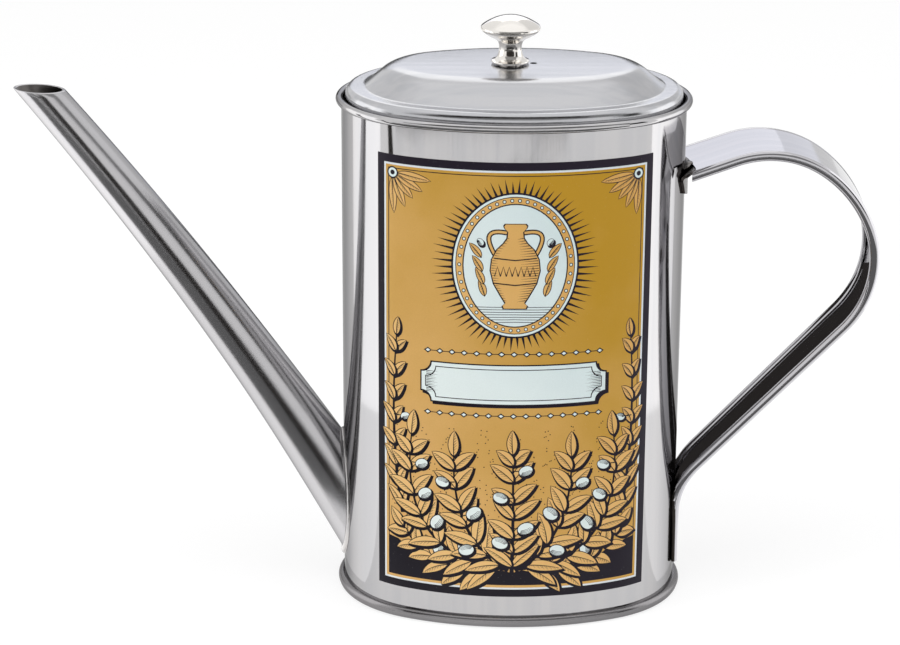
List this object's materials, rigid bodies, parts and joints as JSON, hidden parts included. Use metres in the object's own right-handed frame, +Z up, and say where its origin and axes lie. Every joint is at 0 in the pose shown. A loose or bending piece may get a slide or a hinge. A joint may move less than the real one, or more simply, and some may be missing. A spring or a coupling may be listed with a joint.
{
  "type": "oil tin with spout",
  "caption": "Oval sheet steel oil tin with a slanting tapered spout, a bent strap handle, a printed front label and a lift-off domed lid with a turned knob.",
  "frame": {"origin": "on the tin's upright axis, in the flat face of the base that it stands on", "axes": "+Z up, +X from the tin's axis towards the handle, -X towards the spout, -Y out of the labelled front"},
  "size_m": [0.2112, 0.0634, 0.1471],
  "materials": {
    "body_steel": "bright satin stainless sheet",
    "rim_steel": "polished curled edge",
    "hidden_steel": "plain mill finish",
    "label_print": "satin printed sheet",
    "spout_steel": "polished stainless tube",
    "weld_steel": "dressed and polished weld",
    "strap_steel": "polished stainless strap",
    "lid_steel": "satin pressed stainless lid",
    "knob_metal": "bright nickel plate",
    "screw_steel": "bright turned steel"
  },
  "bodies": {
    "tin": {"body_wall": "body_steel", "rim_wire": "hidden_steel", "base_pan": "rim_steel", "lid_seat_ring": "hidden_steel", "label": "label_print", "spout_tube": "spout_steel", "spout_weld": "weld_steel", "handle_strap": "strap_steel", "handle_bracket": "strap_steel", "handle_top_weld": "weld_steel"},
    "lid": {"lid_cover": "lid_steel", "knob": "knob_metal", "knob_washer": "screw_steel", "knob_screw": "screw_steel"}
  },
  "joints": [
    {"name": "lid_lift", "type": "slide", "parent": "tin", "child": "lid", "axis": [0, 0, 1], "range_m": [0, 0.04]}
  ]
}
